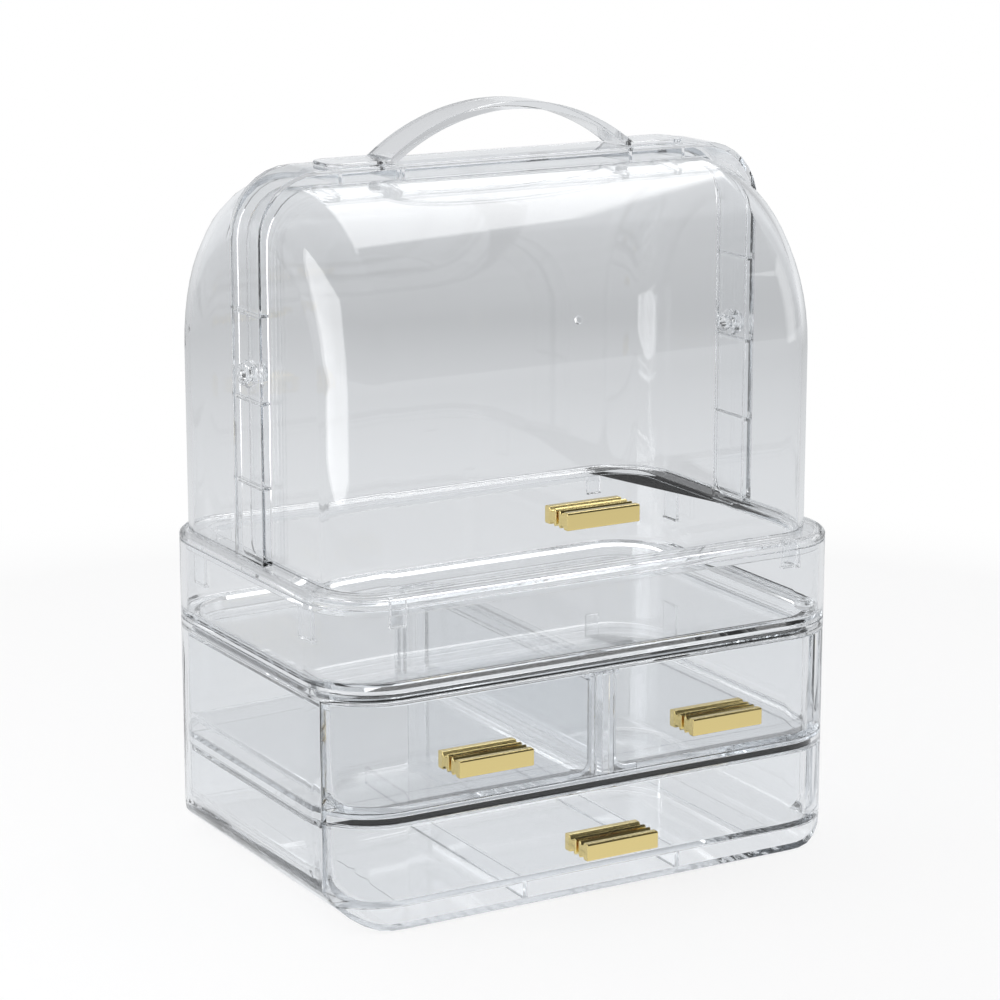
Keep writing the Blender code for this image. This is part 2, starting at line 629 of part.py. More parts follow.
def dome(name, half_width, radius, edge_radius, bottom):
    """A solid dome across the box, its side edges rounded by the edge radius."""
    stations = []
    for step in range(EDGE_STEPS + 1):
        angle = pi / 2 * step / EDGE_STEPS
        place = half_width - edge_radius + edge_radius * cos(angle)
        stations.append((place, radius - edge_radius + edge_radius * sin(angle)))
    stations += [(-place, size) for place, size in reversed(stations)]
    sections = [[(place, y, z) for y, z in dome_outline(size, bottom)] for place, size in stations]
    return loft(name, sections)


def dome_shell(name, half_width, radius, edge_radius, bottom):
    """A dome of even wall, open underneath."""
    shell = dome(name, half_width, radius, edge_radius, bottom)
    inside = dome(
        "dome_inside", half_width - WALL, radius - WALL, edge_radius - WALL, bottom - OVERSHOOT
    )
    return cut(shell, inside)


def rear_cover():
    """The fixed rear half of the dome, behind the arched frame."""
    cover = dome_shell("rear_cover", COVER_HALF_WIDTH, COVER_RADIUS, COVER_EDGE_RADIUS, RIM_TOP + FIT_GAP)
    reach = COVER_HALF_WIDTH + OVERSHOOT
    heights = (RIM_TOP - OVERSHOOT, PIVOT_HEIGHT + COVER_RADIUS + OVERSHOOT)
    cut(cover, block("cover_trim", (-reach, reach), (-COVER_RADIUS - OVERSHOOT, COVER_FRONT), heights))
    return cover


def heel_cutter():
    """What comes off the lid's rear, leaving rounded heels that clear the rim."""
    radius = LID_HEEL_RADIUS
    low = LID_BOTTOM - OVERSHOOT
    far = LID_RADIUS + OVERSHOOT
    top = PIVOT_HEIGHT + far
    heel = arc((LID_REAR_REACH - radius, LID_BOTTOM + radius), radius, -pi / 2, 0, SMALL_STEPS)
    outline = [(heel[0][0], low)] + heel + [(LID_REAR_REACH, top), (far, top), (far, low)]
    reach = LID_HALF_WIDTH + OVERSHOOT
    return prism("heel_cutter", outline, -reach, reach, "X")


def front_lid():
    """The swinging lid: the front of the dome, side cheeks and round pin holes."""
    lid = dome_shell("front_lid", LID_HALF_WIDTH, LID_RADIUS, LID_EDGE_RADIUS, LID_BOTTOM)
    cut(lid, heel_cutter())
    reach = LID_HALF_WIDTH + OVERSHOOT
    cut(lid, rod("pin_hole", PIN_HOLE_DIAMETER, -reach, reach, "X", (0, PIVOT_HEIGHT)))
    height = RIM_TOP + LID_SKIRT * LID_PULL_HEIGHT_SHARE
    place = Vector((0, -LID_RADIUS, height))
    drill_for_pull(lid, place)
    return lid, place


def hinge_pin(name, side):
    """A shouldered pin: head outside the frame, collar inside the lid's cheek."""
    head = (FRAME_HALF_WIDTH + FIT_GAP, FRAME_HALF_WIDTH + FIT_GAP + PIN_HEAD_HEIGHT)
    collar_outer = LID_HALF_WIDTH - WALL - FIT_GAP
    collar = (collar_outer - PIN_COLLAR_HEIGHT, collar_outer)
    axis = (0, PIVOT_HEIGHT)
    shaft_ends = sorted((side * collar[0], side * (head[1] - PIN_HEAD_HEIGHT / 2)))
    pin = rod(name, PIN_DIAMETER, *shaft_ends, "X", axis)
    head_ends = sorted((side * head[0], side * head[1]))
    collar_ends = sorted((side * collar[0], side * collar[1]))
    join(pin, rod("pin_head", PIN_HEAD_DIAMETER, *head_ends, "X", axis))
    join(pin, rod("pin_collar", PIN_COLLAR_DIAMETER, *collar_ends, "X", axis))
    return pin


def circle_through(half_span, rise):
    """Radius of the arc that spans both feet and rises by the given height."""
    return (half_span ** 2 + rise ** 2) / (2 * rise)


def handle_arc(half_span, foot, apex):
    """Arc from the right foot over the apex to the left foot."""
    radius = circle_through(half_span, apex - foot)
    centre = apex - radius
    start = acos(half_span / radius)
    return arc((0, centre), radius, start, pi - start, ARC_STEPS)


def carry_handle():
    """The arched grip and its base plate, with blind screw holes in both feet."""
    plate_top = HANDLE_BOTTOM + HANDLE_PLATE_THICKNESS
    half_band = HANDLE_BAND / 2
    foot = HANDLE_BOTTOM + HANDLE_PLATE_THICKNESS / 2
    outer = handle_arc(HANDLE_FOOT_SPAN / 2, foot, HANDLE_TOP)
    inner = handle_arc(HANDLE_GRIP_SPAN / 2, foot, HANDLE_TOP - HANDLE_THICKNESS)
    handle = prism("carry_handle", outer + inner[::-1], -half_band, half_band, "Y")
    half_length = HANDLE_FOOT_SPAN / 2 + HANDLE_PLATE_MARGIN
    plate_outline = []
    for centre, turn in ((half_length - half_band, -pi / 2), (half_band - half_length, pi / 2)):
        plate_outline += arc((centre, 0), half_band, turn, turn + pi, CORNER_STEPS)
    join(handle, prism("handle_plate", plate_outline, HANDLE_BOTTOM, plate_top, "Z"))
    hole = (HANDLE_SCREW_HOLE, FRAME_TOP, FRAME_TOP + HANDLE_SCREW_BITE + FIT_GAP)
    for side in (-1, 1):
        cut(handle, rod("screw_hole", *hole, "Z", (side * HANDLE_SCREW_REACH, 0), SCREW_SIDES))
    return handle


def handle_screw(name, side):
    """A screw up through the frame's top web into one foot of the handle."""
    head_top = FRAME_TOP - FRAME_WEB - FIT_GAP
    centre = (side * HANDLE_SCREW_REACH, 0)
    shaft = (head_top - HANDLE_SCREW_HEAD_HEIGHT / 2, FRAME_TOP + HANDLE_SCREW_BITE)
    screw = rod(name, HANDLE_SCREW_DIAMETER, *shaft, "Z", centre, SCREW_SIDES)
    head = (head_top - HANDLE_SCREW_HEAD_HEIGHT, head_top)
    return join(screw, rod("screw_head", HANDLE_SCREW_HEAD, *head, "Z", centre, SCREW_SIDES))


def corner_stud():
    """The small round stud at the front right corner of the tray's ledge."""
    distance = CORNER_RADIUS - STUD_INSET
    centre_x = HALF_WIDTH - CORNER_RADIUS + distance * cos(STUD_ANGLE)
    centre_y = CORNER_RADIUS - HALF_DEPTH + distance * sin(STUD_ANGLE)
    bottom = TRAY_LEDGE_TOP + FIT_GAP
    return rod("corner_stud", STUD_DIAMETER, bottom, bottom + STUD_HEIGHT, "Z", (centre_x, centre_y))


def pull_outline(start, depth, direction):
    """Side view of half a pull: a flange on the panel, a neck and a rounded bar."""
    half = PULL_HEIGHT / 2
    neck = half * PULL_NECK_SHARE
    bar_start = depth * (1 - PULL_BAR_SHARE)
    radius = PULL_EDGE_RADIUS
    upper = [(0, half - radius)]
    upper += [(radius, half), (PULL_FLANGE, half)]
    groove = ((PULL_FLANGE + bar_start) / 2, half)
    upper += arc(groove, (bar_start - PULL_FLANGE) / 2, pi, 2 * pi, 2 * SMALL_STEPS)[1:-1]
    upper = [(reach, max(height, neck)) for reach, height in upper]
    upper += [(bar_start, half)]
    upper += arc((depth - radius, half - radius), radius, pi / 2, 0, SMALL_STEPS)
    outline = upper + [(reach, -height) for reach, height in reversed(upper)]
    return [(start + direction * reach, height) for reach, height in outline]


def pull_half(name, start, depth, direction, hole_depth):
    """One gold half of a pull, its origin on the panel's outer face."""
    half = PULL_LENGTH / 2
    bar = prism(name, pull_outline(start, depth, direction), -half, half, "X")
    for side in (-1, 1):
        ends = sorted((start - direction * OVERSHOOT, start + direction * hole_depth))
        cut(bar, rod("bore", PULL_SCREW_HOLE, *ends, "Y", (side * PULL_SCREW_SPAN / 2, 0), SCREW_SIDES))
    return bar


def pull_screw(name, side):
    """A screw from the back half, through the panel, into the front half."""
    back_face = WALL + FIT_GAP + PULL_BACK_DEPTH
    head = (back_face + FIT_GAP, back_face + FIT_GAP + PULL_SCREW_HEAD_HEIGHT)
    centre = (side * PULL_SCREW_SPAN / 2, 0)
    shaft = (-FIT_GAP - PULL_SCREW_BITE, head[0] + PULL_SCREW_HEAD_HEIGHT / 2)
    screw = rod(name, PULL_SCREW_DIAMETER, *shaft, "Y", centre, SCREW_SIDES)
    return join(screw, rod("screw_head", PULL_SCREW_HEAD, *head, "Y", centre, SCREW_SIDES))


def pull_set(prefix, place):
    """The gold front half, gold back half and two screws of one pull, on its panel."""
    front = pull_half(prefix + "_pull", -FIT_GAP, PULL_FRONT_DEPTH, -1, PULL_SCREW_BITE + FIT_GAP)
    back = pull_half(prefix + "_pull_back", WALL + FIT_GAP, PULL_BACK_DEPTH, 1, PULL_BACK_DEPTH + OVERSHOOT)
    screws = [pull_screw(prefix + "_pull_screw_" + end, side) for end, side in SIDES]
    for item in (front, back, *screws):
        item.location = place
    return [front, back], screws


def principled(name, colour, roughness, metallic, alpha):
    """A plain material with the part's colour and finish."""
    material = bpy.data.materials.new(name)
    material.use_nodes = True
    shader = material.node_tree.nodes["Principled BSDF"]
    shader.inputs["Base Color"].default_value = (*colour, 1)
    shader.inputs["Roughness"].default_value = roughness
    shader.inputs["Metallic"].default_value = metallic
    shader.inputs["Alpha"].default_value = alpha
    return material


def clear_plastic(item):
    """Clear, faintly cool plastic."""
    return dress(item, principled(item.name + "_plastic", (0.86, 0.88, 0.90), 0.06, 0, 0.35))


def gold_metal(item):
    """Polished gold-coloured metal."""
    return dress(item, principled(item.name + "_gold", (0.86, 0.66, 0.28), 0.22, 1, 1))


def steel(item):
    """Plain screw steel."""
    return dress(item, principled(item.name + "_steel", (0.55, 0.55, 0.56), 0.35, 1, 1))


def dress(item, material):
    """Give an object its material and shade its round faces smooth."""
    item.data.materials.clear()
    item.data.materials.append(material)
    item.data.shade_smooth()
    item.data.set_sharp_from_angle(angle=SMOOTH_ANGLE)
    return item


def carry_on(name, place, items):
    """Parent the pieces of one moving part to an empty on its joint's axis."""
    axis = bpy.data.objects.new(name, None)
    axis.location = place
    bpy.context.scene.collection.objects.link(axis)
    for item in items:
        item.parent = axis
        item.location = item.location - Vector(place)


def moving_part(body, prefix, pull_place, axis_place):
    """Dress a lid or drawer with its pull and hang it on its joint's axis."""
    clear_plastic(body)
    halves, screws = pull_set(prefix, pull_place)
    for item in halves:
        gold_metal(item)
    for item in screws:
        steel(item)
    carry_on(prefix + "_axis", axis_place, [body, *halves, *screws])


def main():
    """Build the whole box."""
    for item in list(bpy.data.objects):
        bpy.data.objects.remove(item)

    for make in (drawer_case, drawer_shelf, divider, tray, tray_rim, arch_frame, rear_cover, carry_handle):
        clear_plastic(make())
    clear_plastic(corner_stud())
    for end, side in SIDES:
        steel(handle_screw("handle_screw_" + end, side))
        clear_plastic(hinge_pin("hinge_pin_" + end, side))

    lid, lid_pull_place = front_lid()
    moving_part(lid, "lid", lid_pull_place, (0, 0, PIVOT_HEIGHT))
    low, low_pull_place = bottom_drawer()
    moving_part(low, "bottom", low_pull_place, (0, 0, BOTTOM_DRAWER_FLOOR))
    for end, side in SIDES:
        body, pull_place = upper_drawer(end + "_drawer", side)
        moving_part(body, end, pull_place, (side * HALF_WIDTH / 2, 0, UPPER_DRAWER_FLOOR))

    box_origin = bpy.data.objects.new("box_origin", None)
    for item in bpy.data.objects:
        if item.parent is None and item != box_origin:
            item.parent = box_origin
    box_origin.location = BOX_SHIFT
    bpy.context.scene.collection.objects.link(box_origin)


main()
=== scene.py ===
"""Studio scene of a clear makeup storage box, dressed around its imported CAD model.

Most clear pieces are finer copies of their CAD nodes: merged, their flat faces cleared of
triangles, and their moulded edges rounded. The carry handle is modelled anew, and the
arched frame's ribs stand where the moulding has them. Lengths are in metres, +Z is up,
the front faces -Y.
"""

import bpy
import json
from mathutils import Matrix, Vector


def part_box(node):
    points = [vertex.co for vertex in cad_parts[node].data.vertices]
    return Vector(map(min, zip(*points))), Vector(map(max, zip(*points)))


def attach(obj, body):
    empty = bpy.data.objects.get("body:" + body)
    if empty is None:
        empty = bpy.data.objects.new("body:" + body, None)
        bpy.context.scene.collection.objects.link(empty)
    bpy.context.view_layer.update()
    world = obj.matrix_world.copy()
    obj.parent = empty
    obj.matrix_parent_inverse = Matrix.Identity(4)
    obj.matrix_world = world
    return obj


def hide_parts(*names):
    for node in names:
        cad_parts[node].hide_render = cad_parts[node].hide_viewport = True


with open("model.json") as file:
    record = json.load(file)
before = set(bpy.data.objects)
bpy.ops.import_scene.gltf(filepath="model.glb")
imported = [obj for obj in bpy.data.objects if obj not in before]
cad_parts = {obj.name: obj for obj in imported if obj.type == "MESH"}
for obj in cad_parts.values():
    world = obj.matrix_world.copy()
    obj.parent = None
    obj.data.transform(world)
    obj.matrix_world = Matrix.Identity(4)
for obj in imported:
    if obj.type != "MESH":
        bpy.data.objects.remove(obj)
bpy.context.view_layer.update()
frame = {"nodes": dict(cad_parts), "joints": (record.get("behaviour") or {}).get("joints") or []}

import json
from math import asin, cos, radians, sin, sqrt

import bmesh
import bpy
from mathutils import Matrix, Vector

bl_info = {
    "name": "Clear makeup storage box",
    "version": (1, 0, 0),
    "blender": (4, 5, 0),
    "location": "3D View > Sidebar > Makeup Box",
    "description": "Dresses the packed makeup storage box and sets its studio",
    "category": "Object",
}

WHITE = (1, 1, 1, 1)

# Meshes: how they are merged, cleared and rounded, and how near is the same place
MERGE_DISTANCE = 2e-6
SAME_PLACE = 0.0009
FLAT_ANGLE = radians(0.6)
SMOOTH_ANGLE = radians(32)
EDGE_PROFILE = 0.5
EDGE_STEPS = 2
EVERY_MATERIAL = -1
FLAT_FACE_WEIGHT = 50

# Materials: a noise is its scale and its lowest and highest share of the roughness
NOISE_DETAIL = 3.0
PLASTIC_NOISE = (60.0, 0.5, 1.5)
METAL_NOISE = (900.0, 0.8, 1.3)
DEPTH_COLOUR = (0.62, 0.68, 0.74, 1)
STEEL_ROUGHNESS = 0.3

# Carry handle, and how much of its tabs covers its screws
STRAP_STEPS = 64
TAB_STEPS = 8
SCREW_COVER = 0.0003

# Arched frame: the ribs' places in the CAD model and the places that they move to
CHANNEL_HALF = 0.0131
CHANNEL_TOP_DEPTH = 0.0075
CHANNEL_WEB_FOOT = 0.3365
TOP_RIB_MOVES = (
    (-0.0795, -0.0930), (-0.0555, -0.0630), (0.0, -0.0605), (0.0555, 0.0630), (0.0795, 0.0930),
)
LEG_RIB_MOVES = {
    -1: ((0.2981, 0.2735), (0.23735, 0.2330), (0.2021, 0.1933)),
    1: ((0.2981, 0.2784), (0.2021, 0.1979)),
}

# Corner stud and the lid's gate mark
STUD_ROUNDING = 0.0021
STUD_STEPS = 8
GATE_MARK_PLACE = (-0.0066, 0.271)
GATE_MARK_RADII = (0.0021, 0.0016)
GATE_MARK_HEIGHT = 0.0010
GATE_MARK_SIDES = 32
GATE_MARK_EDGE = 0.0002
GATE_MARK_GAP = 0.00002

# The body that each pull rides on
PULL_BODIES = {
    "lid": "lid",
    "bottom": "low_drawer",
    "left": "upper_left_drawer",
    "right": "upper_right_drawer",
}

# Floor: painted reflection greys that the floor glows with to glossy and transmission rays, by
# distance from the middle, as a share of the floor's reach
FLOOR_REACH = 6.0
FLOOR_GAP = 0.0002
FLOOR_PAINTED_REFLECTION_GREYS = (
    (0.0, 0.88), (0.07, 0.79), (0.14, 0.75), (0.19, 0.67), (0.24, 0.57), (0.33, 0.64),
    (0.45, 0.74), (1.0, 0.82),
)
FLOOR_FADE = (0.05, 0.12)
FLOOR_WHITE_SHARE = 0.75

# Background: greys by the height of a direction, in front of the box and behind it
COOL_GREY = (0.985, 1.0, 1.02)
FRONT_GREYS = ((0.0, 0.30), (0.16, 0.22), (0.35, 0.10), (0.8, 0.06), (1.0, 0.14))
REAR_GREYS = ((0.0, 0.86), (0.13, 0.84), (0.19, 0.62), (0.34, 0.58), (0.6, 0.56), (1.0, 0.40))
REAR_EDGE = (-0.05, 0.05)
PLAIN_LEVEL = 0.8

# Top light: its front and right rims are a start and a slope, its others a limit
TOP_LIGHT_FRONT = (-0.986, 2.1)
TOP_LIGHT_RIGHT = (0.5125, 0.098)
TOP_LIGHT_LEFT = 0.385
TOP_LIGHT_FOOT = 0.36
TOP_LIGHT_SOFTNESS = 0.012
TOP_LIGHT_LEVEL = 2.5

# Lamps: name, place, width and height, power
SOFT_BOXES = (
    ("left_soft_box", (-0.95, 0.0, 0.50), (0.9, 1.0), 8),
    ("right_soft_box", (1.0, -0.7, 0.60), (0.5, 0.9), 2),
)
LIGHT_BOUNCES = 64
SEE_THROUGH_BOUNCES = 40


class MakeupBoxPlastic(bpy.types.PropertyGroup):
    """Finish of the clear plastic and the radii of its moulded edges."""

    tint: bpy.props.FloatVectorProperty(
        name="Tint", description="Colour of light that passes one surface",
        subtype="COLOR", size=3, min=0, max=1, default=(0.975, 0.98, 0.985),
    )
    roughness: bpy.props.FloatProperty(
        name="Roughness", description="Roughness of the polished faces",
        subtype="FACTOR", min=0, max=1, default=0.015,
    )
    ior: bpy.props.FloatProperty(
        name="Refraction", description="Refractive index of the plastic",
        min=1, max=2, default=1.49,
    )
    absorption: bpy.props.FloatProperty(
        name="Absorption", description="How fast the plastic takes up light, per metre",
        min=0, default=2.0,
    )
    shell_edge: bpy.props.FloatProperty(
        name="Shell Edge", description="Radius on the edges of the large mouldings",
        subtype="DISTANCE", unit="LENGTH", min=0, default=0.0004,
    )
    small_edge: bpy.props.FloatProperty(
        name="Small Edge", description="Radius on the edges of the hinge pins",
        subtype="DISTANCE", unit="LENGTH", min=0, default=0.0003,
    )


class MakeupBoxMetal(bpy.types.PropertyGroup):
    """Finish of the pulls and the screws."""

    gold: bpy.props.FloatVectorProperty(
        name="Gold", description="Colour of the gold plating",
        subtype="COLOR", size=3, min=0, max=1, default=(0.84, 0.68, 0.30),
    )
    gold_roughness: bpy.props.FloatProperty(
        name="Gold Roughness", description="Roughness of the plating",
        subtype="FACTOR", min=0, max=1, default=0.09,
    )
    steel: bpy.props.FloatVectorProperty(
        name="Steel", description="Colour of the screws",
        subtype="COLOR", size=3, min=0, max=1, default=(0.55, 0.55, 0.56),
    )
    pull_edge: bpy.props.FloatProperty(
        name="Pull Edge", description="Radius on the sharp edges of the pulls",
        subtype="DISTANCE", unit="LENGTH", min=0, default=0.0004,
    )


class MakeupBoxHandle(bpy.types.PropertyGroup):
    """Sizes of the carry handle."""

    strap_radius: bpy.props.FloatProperty(
        name="Strap Radius", description="Outer radius of the arched strap",
        subtype="DISTANCE", unit="LENGTH", min=0, default=0.106,
    )
    strap_thickness: bpy.props.FloatProperty(
        name="Strap Thickness", description="Thickness of the arched strap",
        subtype="DISTANCE", unit="LENGTH", min=0, default=0.0037,
    )
    strap_drop: bpy.props.FloatProperty(
        name="Strap Drop", description="How far the strap stays under the top of the CAD grip",
        subtype="DISTANCE", unit="LENGTH", min=0, default=0.0015,
    )
    tab_thickness: bpy.props.FloatProperty(
        name="Tab Thickness", description="Thickness of the flat tab at each foot",
        subtype="DISTANCE", unit="LENGTH", min=0, default=0.0016,
    )
    tab_corner: bpy.props.FloatProperty(
        name="Tab Corner", description="Radius of the corners of the tabs",
        subtype="DISTANCE", unit="LENGTH", min=0, default=0.007,
    )


class MakeupBoxStudio(bpy.types.PropertyGroup):
    """The camera and the floor."""

    camera_place: bpy.props.FloatVectorProperty(
        name="Camera", description="Where the camera stands",
        subtype="XYZ", unit="LENGTH", size=3, default=(-0.76707, -1.31787, 0.5350),
    )
    camera_turn: bpy.props.FloatVectorProperty(
        name="Camera Turn", description="How the camera is turned",
        subtype="EULER", size=3, default=(radians(76.549), 0, radians(-30.078)),
    )
    camera_lens: bpy.props.FloatProperty(
        name="Lens", description="Focal length in millimetres",
        unit="CAMERA", min=1, default=116.90,
    )
    floor_colour: bpy.props.FloatVectorProperty(
        name="Floor", description="Colour of the pale floor",
        subtype="COLOR", size=3, min=0, max=1, default=(0.86, 0.86, 0.87),
    )


def settings():
    """The sizes and colours of this scene."""
    return bpy.context.scene


def node_tree(material):
    """Switch a material to nodes and clear what it starts with."""
    material.use_nodes = True
    material.node_tree.nodes.clear()
    return material.node_tree


def add_node(tree, kind, **inputs):
    """Add a shader node and set its inputs by name."""
    node = tree.nodes.new(kind)
    for name, value in inputs.items():
        node.inputs[name.replace("_", " ")].default_value = value
    return node


def fine_noise_group():
    """A group that varies a roughness slightly over the surface."""
    group = bpy.data.node_groups.new("fine_noise", "ShaderNodeTree")
    for name in ("Scale", "Low", "High"):
        group.interface.new_socket(name, in_out="INPUT", socket_type="NodeSocketFloat")
    group.interface.new_socket("Roughness", in_out="OUTPUT", socket_type="NodeSocketFloat")
    start = group.nodes.new("NodeGroupInput")
    end = group.nodes.new("NodeGroupOutput")
    place = group.nodes.new("ShaderNodeTexCoord")
    noise = add_node(group, "ShaderNodeTexNoise", Detail=NOISE_DETAIL)
    span = group.nodes.new("ShaderNodeMapRange")
    group.links.new(place.outputs["Object"], noise.inputs["Vector"])
    group.links.new(start.outputs["Scale"], noise.inputs["Scale"])
    group.links.new(noise.outputs["Fac"], span.inputs["Value"])
    group.links.new(start.outputs["Low"], span.inputs["To Min"])
    group.links.new(start.outputs["High"], span.inputs["To Max"])
    group.links.new(span.outputs["Result"], end.inputs["Roughness"])
    return group


def use_noise(tree, shader, roughness, noise):
    """Feed a shader's roughness from the fine noise."""
    scale, low, high = noise
    node = tree.nodes.new("ShaderNodeGroup")
    node.node_tree = bpy.data.node_groups.get("fine_noise") or fine_noise_group()
    for name, value in (("Scale", scale), ("Low", roughness * low), ("High", roughness * high)):
        node.inputs[name].default_value = value
    tree.links.new(node.outputs["Roughness"], shader.inputs["Roughness"])


def clear_plastic():
    """Clear moulded plastic that lets the light of lamps through."""
    found = bpy.data.materials.get("moulded_clear_plastic")
    if found:
        return found
    finish = settings().makeup_box_plastic
    material = bpy.data.materials.new("moulded_clear_plastic")
    tree = node_tree(material)
    shader = add_node(
        tree, "ShaderNodeBsdfPrincipled", Base_Color=(*finish.tint, 1),
        IOR=finish.ior, Transmission_Weight=1.0,
    )
    use_noise(tree, shader, finish.roughness, PLASTIC_NOISE)
    lamp_path = tree.nodes.new("ShaderNodeLightPath")
    see_through = tree.nodes.new("ShaderNodeBsdfTransparent")
    mix = tree.nodes.new("ShaderNodeMixShader")
    tree.links.new(lamp_path.outputs["Is Shadow Ray"], mix.inputs[0])
    tree.links.new(shader.outputs[0], mix.inputs[1])
    tree.links.new(see_through.outputs[0], mix.inputs[2])
    volume = add_node(
        tree, "ShaderNodeVolumeAbsorption", Color=DEPTH_COLOUR, Density=finish.absorption
    )
    output = tree.nodes.new("ShaderNodeOutputMaterial")
    tree.links.new(mix.outputs[0], output.inputs["Surface"])
    tree.links.new(volume.outputs[0], output.inputs["Volume"])
    return material


def metal(name, colour, roughness):
    """Metal whose polish varies slightly."""
    found = bpy.data.materials.get(name)
    if found:
        return found
    material = bpy.data.materials.new(name)
    tree = node_tree(material)
    shader = add_node(tree, "ShaderNodeBsdfPrincipled", Base_Color=(*colour, 1), Metallic=1.0)
    use_noise(tree, shader, roughness, METAL_NOISE)
    output = tree.nodes.new("ShaderNodeOutputMaterial")
    tree.links.new(shader.outputs[0], output.inputs["Surface"])
    return material


def gold_plating():
    """Polished gold-coloured plating."""
    finish = settings().makeup_box_metal
    return metal("gold_plating", finish.gold, finish.gold_roughness)


def screw_steel():
    """Plain screw steel."""
    return metal("screw_steel", settings().makeup_box_metal.steel, STEEL_ROUGHNESS)


def merged_copy(node):
    """A CAD node's mesh, merged and cleared of the triangles on its flat faces."""
    shape = bmesh.new()
    shape.from_mesh(frame["nodes"][node].data)
    bmesh.ops.remove_doubles(shape, verts=shape.verts, dist=MERGE_DISTANCE)
    bmesh.ops.dissolve_limit(
        shape, angle_limit=FLAT_ANGLE, verts=shape.verts, edges=shape.edges, delimit=set()
    )
    return shape


def round_edges(shape, radius, segments=EDGE_STEPS):
    """Round every sharp edge of a shape."""
    sharp = [
        edge for edge in shape.edges
        if len(edge.link_faces) == 2 and edge.calc_face_angle() > SMOOTH_ANGLE
    ]
    bmesh.ops.bevel(
        shape, geom=sharp, offset=radius, offset_type="OFFSET", segments=segments,
        profile=EDGE_PROFILE, affect="EDGES", clamp_overlap=False, material=EVERY_MATERIAL,
        loop_slide=True,
    )


def place_piece(shape, name, body, slot, material, *nodes):
    """Turn a bmesh into a piece that rides on a body and stands for CAD nodes."""
    mesh = bpy.data.meshes.new(name)
    shape.to_mesh(mesh)
    shape.free()
    mesh.materials.append(material)
    mesh.shade_smooth()
    piece = bpy.data.objects.new(name, mesh)
    bpy.context.scene.collection.objects.link(piece)
    flat_faces = piece.modifiers.new("flat_faces", "WEIGHTED_NORMAL")
    flat_faces.weight = FLAT_FACE_WEIGHT
    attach(piece, body)
    if nodes:
        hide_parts(*nodes)
    return piece


def place_clear(shape, name, *nodes, body="box"):
    """Turn a bmesh into a clear plastic piece."""
    return place_piece(shape, name, body, "clear_plastic", clear_plastic(), *nodes)


def clear_copy(node, body="box", small=False):
    """A clear plastic piece, a finer copy of one CAD node with rounded edges."""
    finish = settings().makeup_box_plastic
    shape = merged_copy(node)
    round_edges(shape, finish.small_edge if small else finish.shell_edge)
    return place_clear(shape, "clear_" + node, node, body=body)


def slide_ribs(vertices, axis, moves):
    """Slide the ribs along an axis of the channel, each from its place to its goal."""
    for place, goal in moves:
        for vertex in vertices:
            if abs(vertex.co[axis] - place) < SAME_PLACE:
                vertex.co[axis] += goal - place


def arch_shape():
    """The arched frame, its ribs where the moulding has them."""
    shape = merged_copy("arch_frame")
    low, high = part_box("arch_frame")
    middle = (low[1] + high[1]) / 2
    channel = [vertex for vertex in shape.verts if abs(vertex.co.y - middle) < CHANNEL_HALF]
    for side, moves in LEG_RIB_MOVES.items():
        slide_ribs([vertex for vertex in channel if side * vertex.co.x > 0], 2, moves)
    top = [
        vertex for vertex in channel
        if high[2] - CHANNEL_TOP_DEPTH < vertex.co.z < CHANNEL_WEB_FOOT
    ]
    slide_ribs(top, 0, TOP_RIB_MOVES)
    return shape


def arc_edges(shape, start, middle, angle):
    """An arc of edges in the front view, from a point through an angle about a middle."""
    first = shape.verts.new(start)
    turned = bmesh.ops.spin(
        shape, geom=[first], cent=middle, axis=(0, 1, 0), angle=angle,
        steps=STRAP_STEPS, use_merge=False, use_duplicate=False,
    )
    last = [item for item in turned["geom_last"] if isinstance(item, bmesh.types.BMVert)][0]
    return first, last


def handle_shape():
    """The carry handle: a thin arched strap with a rounded tab at each foot."""
    sizes = settings().makeup_box_handle
    low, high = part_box("carry_handle")
    front, rear, foot = low[1], high[1], low[2]
    top = foot + sizes.tab_thickness
    centre = high[2] - sizes.strap_drop - sizes.strap_radius
    middle = (0, front, centre)
    shape = bmesh.new()
    arcs = []
    for radius, level in (
        (sizes.strap_radius, top),
        (sizes.strap_radius - sizes.strap_thickness, foot),
    ):
        reach = sqrt(radius ** 2 - (level - centre) ** 2)
        arcs.append(arc_edges(shape, (reach, front, level), middle, -2 * asin(reach / radius)))
    for side, outer_end, inner_end in zip((1, -1), *arcs):
        end = high[0] * side
        tab = [shape.verts.new((end, front, height)) for height in (top, foot)]
        for pair in ((outer_end, tab[0]), (tab[0], tab[1]), (tab[1], inner_end)):
            shape.edges.new(pair)
    bmesh.ops.contextual_create(shape, geom=list(shape.edges))
    grown = bmesh.ops.extrude_face_region(shape, geom=list(shape.faces))
    moved = [item for item in grown["geom"] if isinstance(item, bmesh.types.BMVert)]
    bmesh.ops.translate(shape, verts=moved, vec=(0, rear - front, 0))
    bmesh.ops.recalc_face_normals(shape, faces=shape.faces)
    corners = [
        edge for edge in shape.edges
        if all(abs(abs(vertex.co.x) - high[0]) < SAME_PLACE for vertex in edge.verts)
        and abs(edge.verts[0].co.y - edge.verts[1].co.y) < SAME_PLACE
    ]
    bmesh.ops.bevel(
        shape, geom=corners, offset=sizes.tab_corner, offset_type="OFFSET", segments=TAB_STEPS,
        profile=EDGE_PROFILE, affect="EDGES", material=EVERY_MATERIAL,
    )
    return shape


